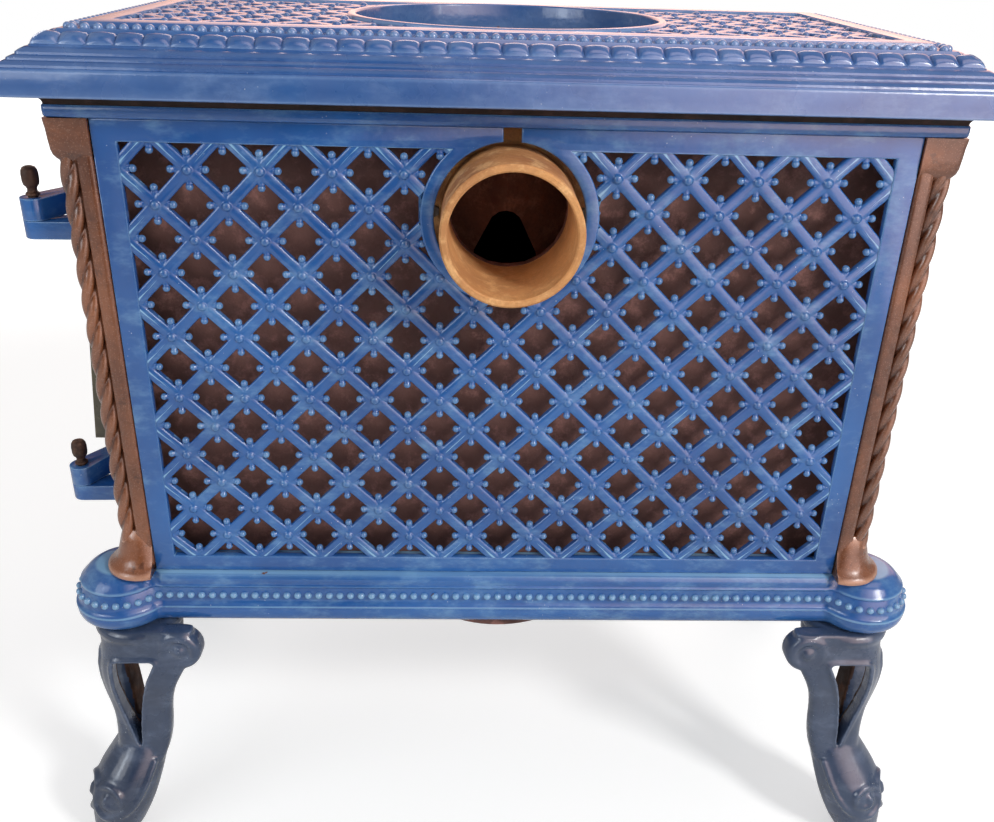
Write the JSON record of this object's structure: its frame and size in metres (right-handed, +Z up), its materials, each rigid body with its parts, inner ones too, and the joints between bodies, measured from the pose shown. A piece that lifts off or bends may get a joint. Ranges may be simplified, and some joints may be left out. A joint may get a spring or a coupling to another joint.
{
  "type": "enamelled cast-iron stove",
  "caption": "Free-standing enamelled cast-iron stove on cabriole legs, with lattice rear and top, rear flue spigot, glazed fire door, side loading door, ash drawer and hob lid.",
  "frame": {"origin": "on the floor, under the middle of the body", "axes": "+Z up, +X to the right of someone who faces the flue side, +Y from the flue side to the fire-door side"},
  "size_m": [0.8206, 0.4846, 0.7829],
  "materials": {
    "blue_enamel": "glossy vitreous enamel over cast iron",
    "brown_enamel": "satin brown enamel over cast iron, worn on the edges",
    "dark_enamel": "dark olive-brown enamel over cast iron",
    "spigot_iron": "bare cast iron with even ochre rust",
    "firebox_iron": "bare cast iron, reddish-brown oxide",
    "black_iron": "bare cast iron, dark oxide",
    "steel": "turned steel, dull",
    "door_glass": "clear ceramic glass"
  },
  "bodies": {
    "stove_body": {"base_frame": "blue_enamel", "leg_rear_left": "blue_enamel", "leg_rear_right": "blue_enamel", "leg_front_left": "blue_enamel", "leg_front_right": "blue_enamel", "rear_panel": "blue_enamel", "right_side_panel": "blue_enamel", "left_side_panel": "blue_enamel", "front_frame": "blue_enamel", "top_frame": "blue_enamel", "top_plate": "blue_enamel", "post_rear_left": "brown_enamel", "post_rear_right": "brown_enamel", "post_front_left": "brown_enamel", "post_front_right": "brown_enamel", "side_hinge_pin_upper": "brown_enamel", "side_hinge_pin_lower": "brown_enamel", "flue_spigot": "spigot_iron", "firebox_back": "firebox_iron", "flue_box": "firebox_iron", "firebox_left": "black_iron", "firebox_right": "black_iron", "bottom_plate": "black_iron", "fire_floor": "black_iron", "grate": "black_iron", "baffle": "black_iron", "hob_plate": "black_iron", "leg_bolt_rear_left": "steel", "leg_bolt_rear_right": "steel", "leg_bolt_front_left": "steel", "leg_bolt_front_right": "steel", "tie_rod_rear_left": "steel", "tie_rod_rear_right": "steel", "tie_rod_front_left": "steel", "tie_rod_front_right": "steel", "spigot_bolt_left": "steel", "spigot_bolt_right": "steel", "fire_hinge_pin_lower": "steel", "fire_hinge_pin_upper": "steel"},
    "fire_door": {"fire_door": "blue_enamel", "fire_door_glass": "door_glass", "glass_clip_top": "black_iron", "glass_clip_bottom": "black_iron"},
    "fire_door_latch": {"fire_door_latch": "steel"},
    "side_door": {"side_door": "dark_enamel"},
    "side_door_latch": {"side_door_latch": "brown_enamel"},
    "ash_drawer": {"ash_tray": "black_iron", "ash_drawer_front": "blue_enamel", "ash_drawer_knob": "steel", "air_stud_left": "steel", "air_stud_right": "steel"},
    "air_spinner_left": {"air_disc_left": "blue_enamel"},
    "air_spinner_right": {"air_disc_right": "blue_enamel"},
    "hob_lid": {"hob_lid": "black_iron"}
  },
  "joints": [
    {"name": "fire_door_hinge", "type": "hinge", "parent": "stove_body", "child": "fire_door", "pos_m": [0.262, 0.1943, 0.54], "axis": [0, 0, -1], "range_deg": [0, 110]},
    {"name": "fire_latch_turn", "type": "hinge", "parent": "fire_door", "child": "fire_door_latch", "pos_m": [-0.222, 0.1943, 0.544], "axis": [0, 1, 0], "range_deg": [0, 90]},
    {"name": "side_door_hinge", "type": "hinge", "parent": "stove_body", "child": "side_door", "pos_m": [-0.3903, -0.1423, 0.5], "axis": [0, 0, 1], "range_deg": [0, 110]},
    {"name": "side_latch_turn", "type": "hinge", "parent": "side_door", "child": "side_door_latch", "pos_m": [-0.362, 0.106, 0.598], "axis": [1, 0, 0], "range_deg": [0, 90]},
    {"name": "ash_drawer_slide", "type": "slide", "parent": "stove_body", "child": "ash_drawer", "axis": [0, 1, 0], "range_m": [0, 0.19]},
    {"name": "air_left_turn", "type": "hinge", "parent": "ash_drawer", "child": "air_spinner_left", "pos_m": [-0.092, 0.19, 0.3401], "axis": [0, 1, 0], "range_deg": [0, 60]},
    {"name": "air_right_turn", "type": "hinge", "parent": "ash_drawer", "child": "air_spinner_right", "pos_m": [0.092, 0.19, 0.3401], "axis": [0, 1, 0], "range_deg": [0, 60]},
    {"name": "hob_lid_lift", "type": "slide", "parent": "stove_body", "child": "hob_lid", "axis": [0, 0, 1], "range_m": [0, 0.12]}
  ]
}
